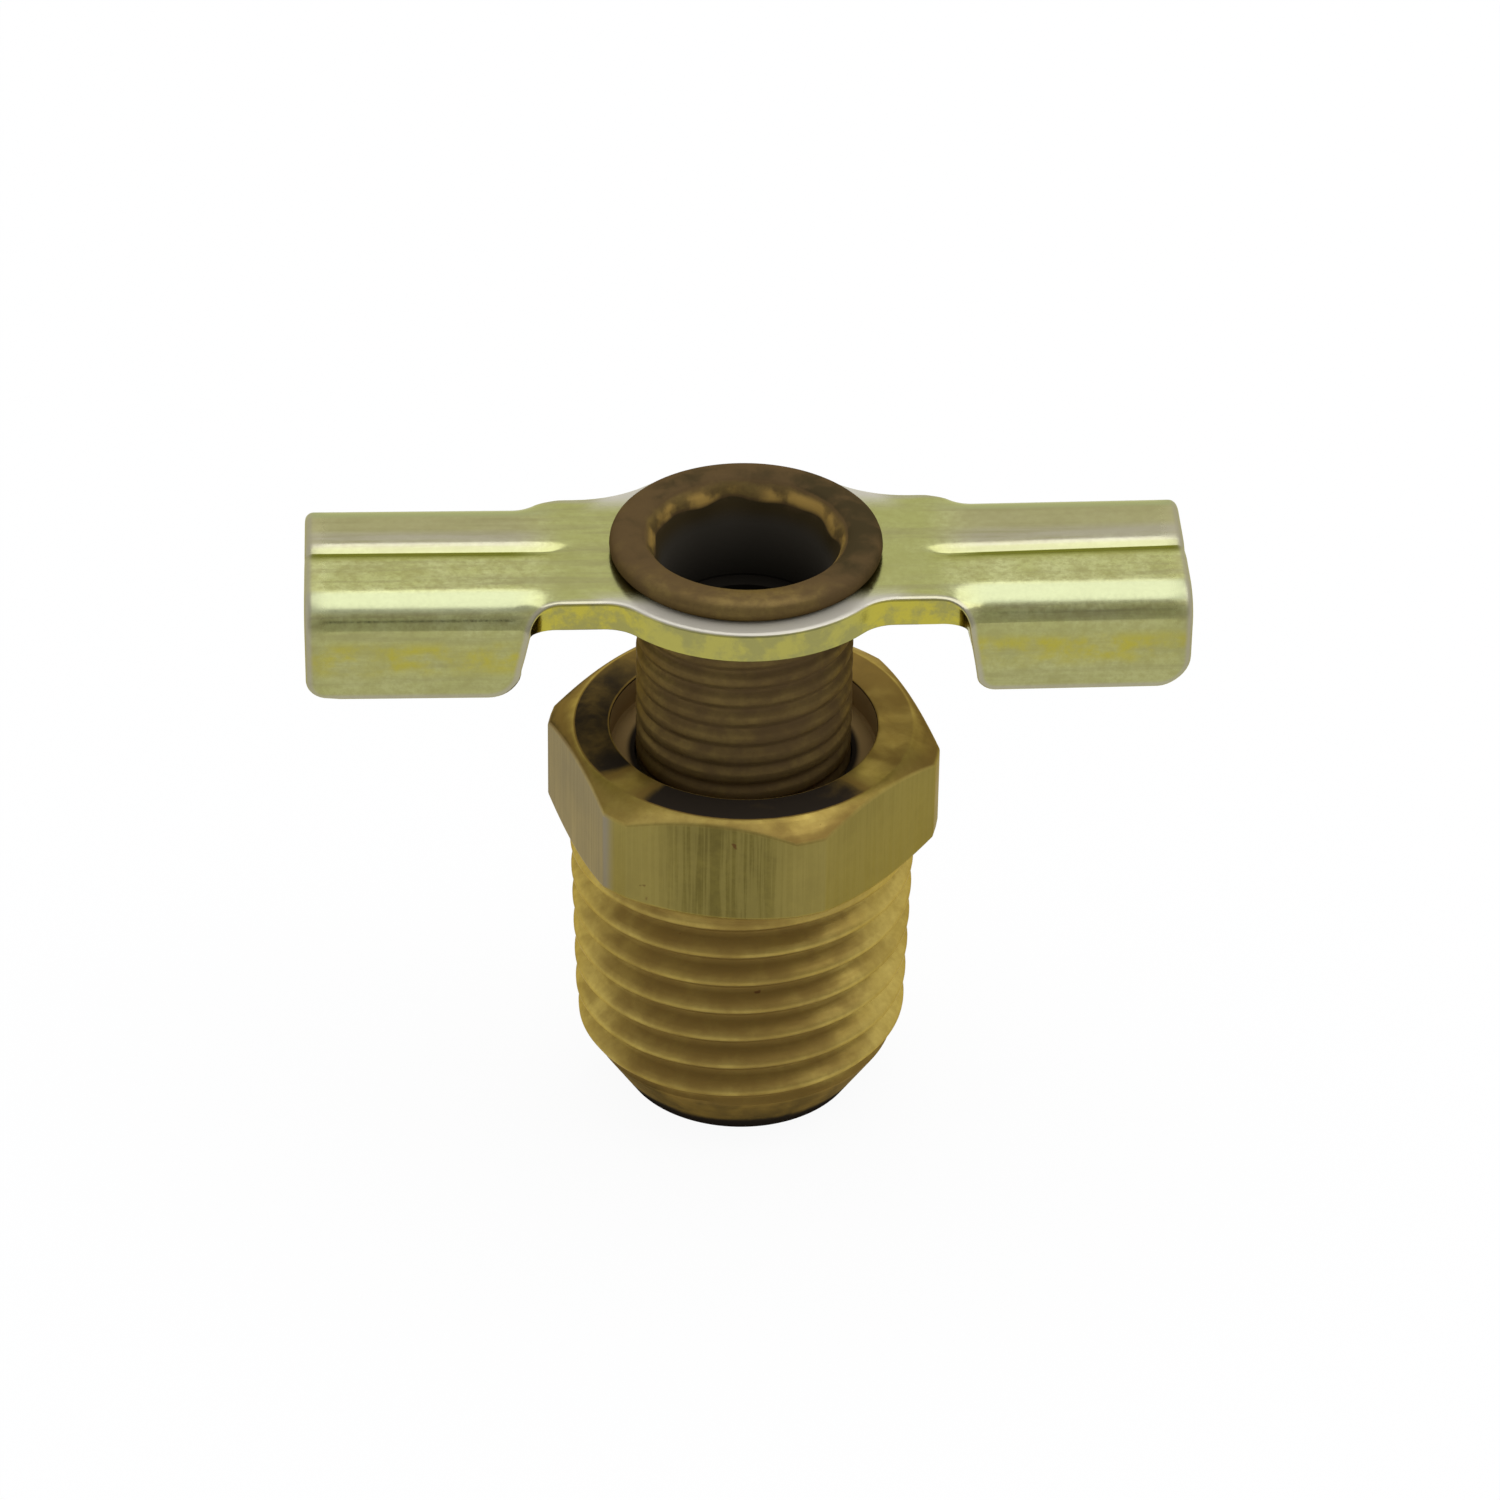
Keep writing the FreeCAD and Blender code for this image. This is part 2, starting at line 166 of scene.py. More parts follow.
def pipe_thread_row(turns):
    """A row that climbs one pitch a turn along the pipe thread, between the nose's face and the hexagon."""

    def row(bearing):
        turned = (bearing - VIEWED_FROM) / FULL_TURN
        height = min(hex_underside, max(0.0, pipe_crest_height + pipe_pitch * (turns + turned)))
        phase = (height - pipe_crest_height) / pipe_pitch - turned
        run_out = min(1.0, max(0.0, (hex_underside - height) / pipe_run_out))
        depth = thread_depth_at(phase, pipe_crest_land, pipe_root_land) * run_out
        radius = pipe_radius + height * pipe_taper - pipe_thread_depth * depth
        lead = pipe_radius + nose_length * pipe_taper
        if height < nose_length:
            radius = min(radius, nose_radius + (lead - nose_radius) * height / nose_length)
        # Painted shade on the foot and the nose, fading upwards.
        foot_shaded = 1 - ease(height, *foot_shade_fade)
        nose_shaded = nose_shade * (1 - ease(height, *nose_shade_fade))
        # Dark grooves: a little dirt all round, and painted shade on the side facing the camera.
        groove_dirt_and_shade = depth * (groove_dirt + gathered(bearing, groove_shade_places))
        # Painted highlight on the crests.
        crest_lightened = crest_highlight * (1 - depth) ** crest_highlight_sharpness
        thread_dirt_and_shade = gathered(bearing, thread_shade_places) + groove_dirt_and_shade - crest_lightened
        return radius, height, max(thread_dirt_and_shade, nose_shaded, foot_shaded), 0.0

    return row


def hexagon_radius(bearing):
    """The bar's outline: six flats with the corners turned off."""
    off_flat = (bearing - hex_corner_bearing) % SIXTH_TURN - SIXTH_TURN / 2
    return min(hex_corner_radius, hex_flat_radius / math.cos(off_flat))


def top_ring(radius, height):
    """A ring of the top face, darkened by dirt and by painted shade and reflection, with painted highlights
    in two places beside the stem.
    """

    def row(bearing):
        thick = min(1.0, top_dirt_and_shade + gathered(bearing, top_dirt_and_shade_places))
        return radius, height, thick * (1 - gathered(bearing, top_highlight_places)), 0.0

    return row


def hexagon_row(shoulder, along, inward, bar):
    """A row round the hexagon's upper or lower bevel edge, moved along the flat and in along the bevel."""

    def row(bearing):
        radius = hexagon_radius(bearing)
        if shoulder == "upper":
            height = body_top - (radius - top_face_radius) * hex_bevel_slope
            height -= along - inward * hex_bevel_slope
            dirt_and_shade = (1 - bar) * (bevel_dirt + gathered(bearing, bevel_dirt_and_shade_places))
        else:
            height = hex_underside + (radius - pipe_radius - hex_underside * pipe_taper) * hex_bevel_slope
            height += along - inward * hex_bevel_slope
            dirt_and_shade = 0.0
        return radius - inward, height, dirt_and_shade, bar

    return row


flat_half_angle = math.acos(hex_flat_radius / hex_corner_radius)
flat_half_width = math.tan(flat_half_angle)
flat_steps = [-0.985] + [step / 9 for step in range(-8, 9)] + [0.985]
strip_half_angle = SIXTH_TURN / 2 - flat_half_angle
strip_steps = [-1.0, -0.85, 0.0, 0.85, 1.0]
body_bearings = []
for corner in range(6):
    corner_bearing = hex_corner_bearing + corner * SIXTH_TURN
    body_bearings += [corner_bearing + step * strip_half_angle for step in strip_steps]
    flat_bearing = corner_bearing + SIXTH_TURN / 2
    body_bearings += [flat_bearing + math.atan(step * flat_half_width) for step in flat_steps]

pitch_steps = [-0.5, -0.45, -0.37, -0.28, -0.19, -0.11, -0.045, 0.0, 0.045, 0.11, 0.19, 0.28, 0.37, 0.45]
body_rows = [
    # The inlet and the nose's end face are painted dark as shade.
    ring(inlet_radius, inlet_length, deep_shade),
    ring(inlet_radius, inlet_edge, 0.5),
    ring(inlet_radius + inlet_edge, 0.0, 0.4),
    ring(nose_radius - nose_edge, 0.0, 0.8),
]
body_rows += [pipe_thread_row(turn + step) for turn in range(-10, 4) for step in pitch_steps]
body_rows += [
    hexagon_row("lower", 0.0, edge_break, 0.0),
    hexagon_row("lower", edge_break * 0.25, edge_break * 0.2, 0.5),
    hexagon_row("lower", edge_break, 0.0, 1.0),
    hexagon_row("upper", edge_break, 0.0, 1.0),
    hexagon_row("upper", edge_break * 0.25, edge_break * 0.2, 0.5),
    hexagon_row("upper", 0.0, edge_break, 0.0),
    ring(top_face_radius + face_edge, body_top - face_edge * hex_bevel_slope, 0.15),
    top_ring(top_face_radius - face_edge, body_top),
    top_ring((top_face_radius + cup_radius) / 2, body_top),
    top_ring(cup_radius + edge_break, body_top),
    ring(cup_radius + edge_break * 0.3, body_top - edge_break * 0.3, 0.4),
    # Cup wall and floor: painted light; black by the stem: painted shade.
    ring(cup_radius, body_top - edge_break, cup_lit_level),
    ring(cup_radius, cup_floor + edge_break, cup_lit_level),
    ring(cup_radius - edge_break, cup_floor, cup_lit_level),
    ring(cup_radius - cup_lit_width, cup_floor, cup_lit_level),
    ring(screw_bore_radius, cup_floor, deep_shade),
    ring(screw_bore_radius, seat_top, deep_shade),
    ring(inlet_radius, inlet_length, deep_shade),
]
valve_body = wrapped_skin("brass_body", body_bearings, body_rows)


def srgb(*levels):
    """A colour as a painter's chart gives it, 0 to 255, as Blender's linear values."""
    return tuple(((level / 255 + 0.055) / 1.055) ** 2.4 for level in levels) + (1.0,)


def place(tree, kind, sockets, **settings):
    """A shader node with its sockets set: a socket is linked, anything else is a value."""
    made = tree.nodes.new(kind)
    for setting, value in settings.items():
        setattr(made, setting, value)
    for socket, value in sockets.items():
        if isinstance(value, bpy.types.NodeSocket):
            tree.links.new(value, made.inputs[socket])
        else:
            made.inputs[socket].default_value = value
    return made


def blend_colour(tree, amount, first, second):
    """Two colours mixed by a mask."""
    sockets = {"Factor": amount, 6: first, 7: second}
    return place(tree, "ShaderNodeMix", sockets, data_type="RGBA").outputs[2]


def blend_value(tree, amount, first, second):
    """Two values mixed by a mask."""
    sockets = {"Factor": amount, 2: first, 3: second}
    return place(tree, "ShaderNodeMix", sockets, data_type="FLOAT").outputs[0]


def spread(tree, value, low, high, to_low=0.0, to_high=1.0):
    """A value stretched softly from one range to another."""
    sockets = {"Value": value, "From Min": low, "From Max": high, "To Min": to_low, "To Max": to_high}
    return place(tree, "ShaderNodeMapRange", sockets, interpolation_type="SMOOTHSTEP").outputs["Result"]


def combine(tree, operation, first, second):
    """Arithmetic on two values."""
    return place(tree, "ShaderNodeMath", {0: first, 1: second}, operation=operation).outputs["Value"]


def overlap(tree, first, second):
    """Two masks multiplied."""
    return combine(tree, "MULTIPLY", first, second)


def unsigned(tree, value):
    """A value without its sign."""
    return place(tree, "ShaderNodeMath", {0: value}, operation="ABSOLUTE").outputs["Value"]


def noise(tree, where, scale, detail, roughness=0.5, distortion=0.0):
    """Natural unevenness, between 0 and 1."""
    sockets = {"Vector": where, "Scale": scale, "Detail": detail, "Roughness": roughness}
    return place(tree, "ShaderNodeTexNoise", {**sockets, "Distortion": distortion}).outputs["Fac"]


def stretched(tree, where, scale):
    """A place scaled along each axis, so that a pattern runs long one way."""
    return place(tree, "ShaderNodeMapping", {"Vector": where, "Scale": scale}).outputs["Vector"]


def piece_place(tree):
    """Where a point lies on its piece."""
    return place(tree, "ShaderNodeTexCoord", {}).outputs["Object"]


def new_effect(name, inputs, outputs):
    """An empty node group with its named sockets, and the ends to join."""
    group = bpy.data.node_groups.new(name, "ShaderNodeTree")
    for socket, kind in inputs.items():
        group.interface.new_socket(socket, in_out="INPUT", socket_type=kind)
    for socket, kind in outputs.items():
        group.interface.new_socket(socket, in_out="OUTPUT", socket_type=kind)
    return group, group.nodes.new("NodeGroupInput").outputs, group.nodes.new("NodeGroupOutput").inputs


def use_effect(tree, group, sockets):
    """A node group placed in a material with its own values."""
    return place(tree, "ShaderNodeGroup", sockets, node_tree=group).outputs


NUMBER = "NodeSocketFloat"
COLOUR = "NodeSocketColor"
VECTOR = "NodeSocketVector"
patina, patina_in, patina_out = new_effect(
    "patina",
    {
        "Clean": COLOUR,
        "Dull": COLOUR,
        "Tarnish": COLOUR,
        "Grime_and_shade": COLOUR,
        "Patch": NUMBER,
        "Deep": NUMBER,
        "Uneven": NUMBER,
        "Grain": NUMBER,
    },
    {"Color": COLOUR, "Stain": NUMBER},
)
patina_place = piece_place(patina)
patina_cloud = noise(patina, patina_place, patina_in["Patch"], 5.0, 0.6)
patina_spots = noise(patina, patina_place, overlap(patina, patina_in["Patch"], 1.7), 6.0, 0.55, 0.3)
patina_grain = noise(patina, patina_place, 3400.0, 4.0, 0.7)
patina_wander = overlap(patina, patina_in["Uneven"], spread(patina, patina_spots, 0.24, 0.76, -1.0, 1.0))
patina_reach = combine(patina, "ADD", patina_in["Deep"], patina_wander)
patina_speck = overlap(patina, patina_in["Grain"], spread(patina, patina_grain, 0.38, 0.66))
patina_stain = spread(patina, patina_reach, -0.05, 0.5)
patina_grime_and_shade = spread(patina, patina_reach, 0.5, 0.95)
clouded = spread(patina, patina_cloud, 0.36, 0.66)
patina_colour = blend_colour(patina, clouded, patina_in["Clean"], patina_in["Dull"])
patina_colour = blend_colour(patina, patina_speck, patina_colour, patina_in["Tarnish"])
patina_colour = blend_colour(patina, patina_stain, patina_colour, patina_in["Tarnish"])
patina_colour = blend_colour(patina, patina_grime_and_shade, patina_colour, patina_in["Grime_and_shade"])
patina.links.new(patina_colour, patina_out["Color"])
patina.links.new(patina_stain, patina_out["Stain"])

tool_lines, lines_in, lines_out = new_effect("tool_lines", {"Stretch": VECTOR}, {"Lines": NUMBER})
lines_place = stretched(tool_lines, piece_place(tool_lines), lines_in["Stretch"])
lines_noise = noise(tool_lines, lines_place, 1.0, 4.0, 0.6)
tool_lines.links.new(spread(tool_lines, lines_noise, 0.25, 0.75), lines_out["Lines"])


def metal(name):
    """A new metal finish: its node tree and its shader."""
    finish = bpy.data.materials.new(name)
    finish.use_nodes = True
    shader = finish.node_tree.nodes["Principled BSDF"]
    shader.inputs["Metallic"].default_value = 1.0
    return finish, finish.node_tree, shader


def mask(tree, name):
    """A mask that the piece's mesh carries."""
    return place(tree, "ShaderNodeAttribute", {}, attribute_name=name).outputs["Fac"]


streak_brass = srgb(140, 128, 72)
bright_flat_brass = srgb(152, 138, 76)
grey_reflection_brass = srgb(133, 126, 111)
cup_lit_brown = srgb(168, 140, 92)
pit_rust = srgb(84, 50, 30)
body_brass, tree, shader = metal("body_brass")
shader.inputs["Specular Tint"].default_value = (0.8, 0.68, 0.42, 1.0)
shader.inputs["Specular IOR Level"].default_value = 0.0
drawn = mask(tree, "second_finish_and_light")
dirt_and_shade = mask(tree, "dirt_and_shade")
turned = use_effect(
    tree,
    patina,
    {
        "Clean": srgb(184, 163, 88),
        "Dull": srgb(168, 146, 74),
        "Tarnish": srgb(130, 106, 54),
        "Grime_and_shade": srgb(46, 40, 33),
        "Patch": 420.0,
        "Deep": dirt_and_shade,
        "Uneven": 0.11,
        "Grain": 0.2,
    },
)
bar = use_effect(
    tree,
    patina,
    {
        "Clean": srgb(116, 105, 53),
        "Dull": srgb(104, 94, 46),
        "Tarnish": srgb(92, 82, 42),
        "Grime_and_shade": srgb(86, 76, 42),
        "Patch": 240.0,
        "Deep": 0.1,
        "Uneven": 0.2,
        "Grain": 0.4,
    },
)
drawn_lines = use_effect(tree, tool_lines, {"Stretch": (5200.0, 5200.0, 130.0)})["Lines"]
turned_lines = use_effect(tree, tool_lines, {"Stretch": (260.0, 260.0, 7000.0)})["Lines"]
object_place = piece_place(tree)
axes = place(tree, "ShaderNodeSeparateXYZ", {"Vector": object_place}).outputs
streaks = spread(tree, drawn_lines, 0.3, 0.8, 0.0, 0.5)
off_dull = unsigned(tree, combine(tree, "SUBTRACT", axes["X"], -1.1 * MM))
bright_flat = spread(tree, off_dull, 1.2 * MM, 3.0 * MM, 0.0, 0.55)
# Painted reflection: the left-hand flat is painted grey, as if it mirrored the grey room.
grey_reflection = spread(tree, axes["X"], -5.3 * MM, -5.8 * MM)
grey_reflection = overlap(tree, grey_reflection, spread(tree, axes["Y"], 1.75 * MM, 1.45 * MM, 0.0, 0.9))
flats = blend_colour(tree, streaks, bar["Color"], streak_brass)
flats = blend_colour(tree, bright_flat, flats, bright_flat_brass)
flats = blend_colour(tree, grey_reflection, flats, grey_reflection_brass)
finished = blend_colour(tree, drawn, turned["Color"], flats)
# The cup's pale brown is painted light.
finished = blend_colour(tree, spread(tree, dirt_and_shade, 1.05, 1.15), finished, cup_lit_brown)
pits = spread(tree, noise(tree, object_place, 1300.0, 2.0), 0.76, 0.8, 0.0, 0.7)
tree.links.new(blend_colour(tree, pits, finished, pit_rust), shader.inputs["Base Color"])
oxide = overlap(tree, turned["Stain"], spread(tree, drawn, 0.0, 1.0, 0.7, 0.0))
bare = combine(tree, "SUBTRACT", 1.0, oxide)
bare = overlap(tree, bare, spread(tree, dirt_and_shade, 0.62, 0.95, 1.0, 0.0))
tree.links.new(bare, shader.inputs["Metallic"])
line_height = blend_value(tree, drawn, turned_lines, drawn_lines)
stain = blend_value(tree, drawn, turned["Stain"], bar["Stain"])
lined = spread(tree, line_height, 0.0, 1.0, 0.3, 0.42)
tree.links.new(combine(tree, "ADD", lined, overlap(tree, stain, 0.12)), shader.inputs["Roughness"])
bump = place(tree, "ShaderNodeBump", {"Strength": 0.25, "Distance": 0.01 * MM, "Height": line_height})
tree.links.new(bump.outputs["Normal"], shader.inputs["Normal"])
valve_body.data.materials.append(body_brass)
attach(valve_body, "valve_body")
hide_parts("valve_body")

# Stem. A hollow brass screw, turned and browned: a cone nose on the body's seat, a fine thread up to the
# handle, an open mouth, and a rim rolled outwards over the handle's eye.
stem_low, stem_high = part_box("stem")
stem_foot = stem_low.z
rim_top = stem_high.z
rim_underside = rim_top - 0.8 * MM
rim_radius = 5.4 * MM
stem_radius = 4.33 * MM
stem_relief_radius = 3.4 * MM
stem_relief_top = 7.2 * MM
stem_shoulder = 23.77 * MM
stem_neck_radius = 4.0 * MM
stem_pitch = 25.4 / 28 * MM
stem_thread_depth = 0.15 * MM
stem_root_height = 20.19 * MM
stem_crest_land = 0.3
stem_root_land = 0.08
stem_lead = 0.5 * MM
cone_tip_radius = 1.3 * MM
cone_height = stem_relief_radius - cone_tip_radius
mouth_radius = 3.9 * MM
throat_radius = 3.3 * MM
throat_floor = rim_top - 4.2 * MM
drain_radius = 2.6 * MM
drain_floor = 4.9 * MM
drill_point = 0.6 * drain_radius
lip_wave = 0.1 * MM
lip_waves = ((0.6, 7, 0.8), (0.4, 11, 0.0))

# Past 1 the stem's dirt and painted shade turn to the brown of the bore's wall, and further on to the black
# of its floor: painted shade down the hole.
stem_dirt = 0.16
stem_groove_dirt = 0.16
# Painted light: the stem is lighter on its left side.
stem_lit_places = ((0.2, -165, 45),)
# Painted shade on the rim: darkest on the right, less behind and on the left, none in front.
rim_shade_places = ((0.75, 0, 70), (0.4, 172, 65), (0.45, 90, 60))
# Painted light down the mouth's funnel, left out at the back.
funnel_unlit_places = ((1.0, 86, 14),)
bore_shade = 1.2
lower_bore_shade = 1.26
bore_floor_shade = 1.4


def stem_thread_row(turns):
    """A row that climbs one pitch a turn along the stem's fine thread."""

    def row(bearing):
        turned = (bearing - VIEWED_FROM) / FULL_TURN
        climbed = stem_root_height + stem_pitch * (turns + turned + 0.5)
        height = min(stem_shoulder, max(stem_relief_top, climbed))
        phase = (height - stem_root_height) / stem_pitch - 0.5 - turned
        lead = min(1.0, (height - stem_relief_top) / stem_lead)
        depth = thread_depth_at(phase, stem_crest_land, stem_root_land)
        radius = stem_radius - stem_thread_depth * (depth + (1 - lead) * (1 - depth))
        dirt_and_shade = stem_dirt + stem_groove_dirt * depth - gathered(bearing, stem_lit_places)
        return radius, height, dirt_and_shade, 0.0

    return row


def rim_row(inset, drop, dirt_and_shade):
    """A row of the rolled rim, with painted shade darkest on the right, less behind and on the left, and none
    in front, where the lamp lights it.
    """

    def row(bearing):
        return rim_radius - inset, rim_top - drop, dirt_and_shade + gathered(bearing, rim_shade_places), 0.0

    return row


def mouth_row(radius, height, uneven, dirt_and_shade, funnel_lit=0.0):
    """A row inside the mouth, whose lip is left uneven by the rolling, with a painted lit band down the
    funnel that is left out at the back.
    """

    def row(bearing):
        wave = sum(share * math.cos(count * bearing + start) for share, count, start in lip_waves)
        bright = funnel_lit * (1 - gathered(bearing, funnel_unlit_places))
        return radius + lip_wave * uneven * wave, height + lip_wave * uneven * wave, dirt_and_shade, bright

    return row


stem_bearings = [FULL_TURN * step / 144 for step in range(144)]
stem_steps = [-0.5, -0.46, -0.4, -0.33, -0.26, -0.2, -0.12, 0.0, 0.12, 0.2, 0.26, 0.33, 0.4, 0.46]
stem_rows = [
    ring(0.0, stem_foot),
    ring(cone_tip_radius, stem_foot),
    ring(stem_relief_radius, stem_foot + cone_height),
    ring(stem_relief_radius, stem_relief_top),
]
stem_rows += [stem_thread_row(turn + step) for turn in range(-17, 6) for step in stem_steps]
stem_rows += [
    ring(stem_neck_radius, stem_shoulder, deep_shade),
    ring(stem_neck_radius, rim_underside, deep_shade),
    # Painted shade under the rim.
    ring(rim_radius - 0.3 * MM, rim_underside, 0.5),
    rim_row(0.1 * MM, 0.75 * MM, 0.2),
    rim_row(0.02 * MM, 0.64 * MM, 0.1),
    rim_row(0.0, 0.5 * MM, 0.05),
    rim_row(0.02 * MM, 0.34 * MM, 0.05),
    rim_row(0.07 * MM, 0.21 * MM, 0.05),
    rim_row(0.17 * MM, 0.11 * MM, 0.05),
    rim_row(0.34 * MM, 0.04 * MM, 0.1),
    rim_row(0.6 * MM, 0.01 * MM, 0.16),
    rim_row(0.9 * MM, 0.0, 0.2),
    rim_row(1.15 * MM, 0.02 * MM, 0.2),
    rim_row(1.35 * MM, 0.1 * MM, 0.1),
    mouth_row(mouth_radius + 0.02 * MM, rim_top - 0.24 * MM, 0.3, 0.12, 0.1),
    mouth_row(mouth_radius - 0.1 * MM, rim_top - 0.42 * MM, 0.8, 0.05, 1.0),
    mouth_row(mouth_radius - 0.2 * MM, rim_top - 0.66 * MM, 1.0, 0.05, 1.0),
    # Painted shade down in the mouth and the bore.
    mouth_row(mouth_radius - 0.27 * MM, rim_top - 0.84 * MM, 1.0, 0.9),
    mouth_row(mouth_radius - 0.3 * MM, rim_top - 1.05 * MM, 0.6, 1.0),
    ring(throat_radius, rim_top - 1.8 * MM, bore_shade),
    ring(throat_radius, throat_floor + 0.1 * MM, lower_bore_shade),
    ring(throat_radius, throat_floor, bore_floor_shade),
    ring(drain_radius, throat_floor, bore_floor_shade),
    ring(drain_radius, drain_floor, bore_floor_shade),
    ring(0.0, drain_floor - drill_point, bore_floor_shade),
]
stem = wrapped_skin("hollow_screw_stem", stem_bearings, stem_rows)

# The painted lit band inside the mouth.
funnel_lit_brass = srgb(168, 138, 74)
bore_brown = srgb(66, 62, 54)
bore_black = srgb(34, 31, 26)
stem_brass, tree, shader = metal("stem_brass")
shader.inputs["Specular Tint"].default_value = (0.6, 0.5, 0.36, 1.0)
shader.inputs["Specular IOR Level"].default_value = 0.0
dirt_and_shade = mask(tree, "dirt_and_shade")
browned = use_effect(
    tree,
    patina,
    {
        "Clean": srgb(114, 96, 55),
        "Dull": srgb(103, 85, 50),
        "Tarnish": srgb(87, 70, 45),
        "Grime_and_shade": srgb(62, 53, 34),
        "Patch": 520.0,
        "Deep": dirt_and_shade,
        "Uneven": 0.2,
        "Grain": 0.4,
    },
)
funnel_lit_noise = noise(tree, piece_place(tree), 900.0, 4.0)
# Painted light on the mouth's funnel.
funnel_lit = overlap(tree, mask(tree, "second_finish_and_light"), spread(tree, funnel_lit_noise, 0.4, 0.62))
finished = blend_colour(tree, funnel_lit, browned["Color"], funnel_lit_brass)
# Painted shade: brown on the bore's wall, black on its floor.
finished = blend_colour(tree, spread(tree, dirt_and_shade, 1.0, 1.2), finished, bore_brown)
finished = blend_colour(tree, spread(tree, dirt_and_shade, 1.2, 1.3), finished, bore_black)
tree.links.new(finished, shader.inputs["Base Color"])
tree.links.new(spread(tree, browned["Stain"], 0.0, 1.0, 0.6, 0.2), shader.inputs["Metallic"])
stem_lines = use_effect(tree, tool_lines, {"Stretch": (300.0, 300.0, 9000.0)})["Lines"]
lined = spread(tree, stem_lines, 0.0, 1.0, 0.4, 0.52)
stain = overlap(tree, browned["Stain"], 0.15)
tree.links.new(combine(tree, "ADD", lined, stain), shader.inputs["Roughness"])
bump = place(tree, "ShaderNodeBump", {"Strength": 0.2, "Distance": 0.01 * MM, "Height": stem_lines})
tree.links.new(bump.outputs["Normal"], shader.inputs["Normal"])
stem.data.materials.append(stem_brass)
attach(stem, "stem")
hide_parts("stem")

# Wing handle. One strip of steel pressed in a tool: a round eye under the stem's rim, a waist on each side,
# and each end folded down into a channel with a crease along its top. Zinc plated, with a yellow-green
# passivate.
handle_low, handle_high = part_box("wing_handle")
handle_tip = handle_high.x
plate_top = handle_high.z
sheet = 1.25 * MM
eye_radius = 6.2 * MM
eye_hole_radius = 4.05 * MM
front_waist = 3.76 * MM
front_blend = 1.7 * MM
back_waist = 3.9 * MM
back_blend = 4.6 * MM
wing_half = 4.1 * MM
wing_foot = handle_low.z
upper_fold = 2.0 * MM
lower_fold = 1.25 * MM
fold_change = math.radians(30)
fold_from = 7.2 * MM
fold_full = 9.2 * MM
notch_start = 7.5 * MM
notch_round = 1.1 * MM
wing_start = notch_start + notch_round
wing_lean = 0.35 * MM
notch_bulge = 0.25
notch_bulge_end = wing_start + 2 * sheet
notch_bulge_fade = (wing_half + 0.4 * sheet, wing_half + 1.6 * sheet)
wing_lift = math.tan(math.radians(0.4))
small_corner = 0.75 * MM
large_corner = 1.3 * MM
crease_from = 6.6 * MM
crease_full = 8.0 * MM
crease_dish = 1.4 * MM
crease_far_wall = 0.5 * MM
crease_far_curve = 1.4
crease_near_wall = 0.8 * MM
crease_near_curve = 1.25
crease_depth = 0.14 * MM
dish_depth = 0.03 * MM
left_crease_back = 0.22 * MM
right_crease_forward = 0.32 * MM
right_crease_slant = 0.026
top_edge_round = 0.16 * MM
tip_edge_round = 0.34 * MM
tip_edge_fade = (handle_tip - 1.4 * MM, handle_tip - 0.3 * MM)
under_edge_round = 0.1 * MM
upper_arc = upper_fold * fold_change
lower_arc = lower_fold * (math.pi / 2 - fold_change)
fold_line = wing_half - upper_fold * math.sin(fold_change) - lower_fold * (1 - math.sin(fold_change))
fold_fall = upper_fold * (1 - math.cos(fold_change)) + lower_fold * math.cos(fold_change)
blank_half = fold_line + upper_arc + lower_arc + plate_top - wing_foot - fold_fall


def quarter_round(centre, radius, first, last, steps=10):
    """Points on an arc of the blank's outline, both ends left in."""
    angles = [math.radians(first + (last - first) * step / steps) for step in range(steps + 1)]
    return [(centre[0] + radius * math.cos(a), centre[1] + radius * math.sin(a)) for a in angles]


def crease_line(along):
    """How far back the crease runs from the middle: level on the left wing, a little askew on the right."""
    if along < 0:
        return left_crease_back
    return right_crease_slant * (along - crease_full) - right_crease_forward


def pressed_in(along, across):
    """How deep the crease is: a sharp line, a steep wall and a shallow dish behind, a slack wall in front."""
    if across < 0:
        depth = (dish_depth + crease_depth) * max(0.0, 1 + across / crease_near_wall) ** crease_near_curve
    else:
        depth = dish_depth * max(0.0, 1 - across / crease_dish) ** 2
        depth += crease_depth * max(0.0, 1 - across / crease_far_wall) ** crease_far_curve
    return depth * ease(abs(along), crease_from, crease_full)


def folded(along, across):
    """Where a point of the flat blank's upper skin lies once folded and creased, and how far it is bent."""
    bend = ease(abs(along), fold_from, fold_full)
    side = math.copysign(1.0, across)
    lifted = plate_top + wing_lift * max(0.0, abs(along) - fold_from)
    left_over = abs(across) - fold_line
    if left_over <= 0 or bend == 0.0:
        askew = crease_line(along) * (1 - ease(abs(across), crease_near_wall, fold_line))
        askew *= ease(abs(along), eye_hole_radius, crease_from)
        return Vector((along, across + askew, lifted - pressed_in(along, across))), 0.0
    angle = 0.0
    out = fold_line
    down = 0.0
    for radius, arc in ((upper_fold / bend, upper_arc), (lower_fold / bend, lower_arc)):
        run = min(left_over, arc)
        turned_to = angle + run / radius
        out += radius * (math.sin(turned_to) - math.sin(angle))
        down += radius * (math.cos(angle) - math.cos(turned_to))
        angle = turned_to
        left_over -= run
    out += left_over * math.cos(angle)
    down += left_over * math.sin(angle)
    return Vector((along, side * out, lifted - down)), side * angle


def worn_edge(inset, radius):
    """How far a rounded edge has dropped at this distance in from the blank's outline."""
    return radius - math.sqrt(max(0.0, radius**2 - max(0.0, radius - inset) ** 2))


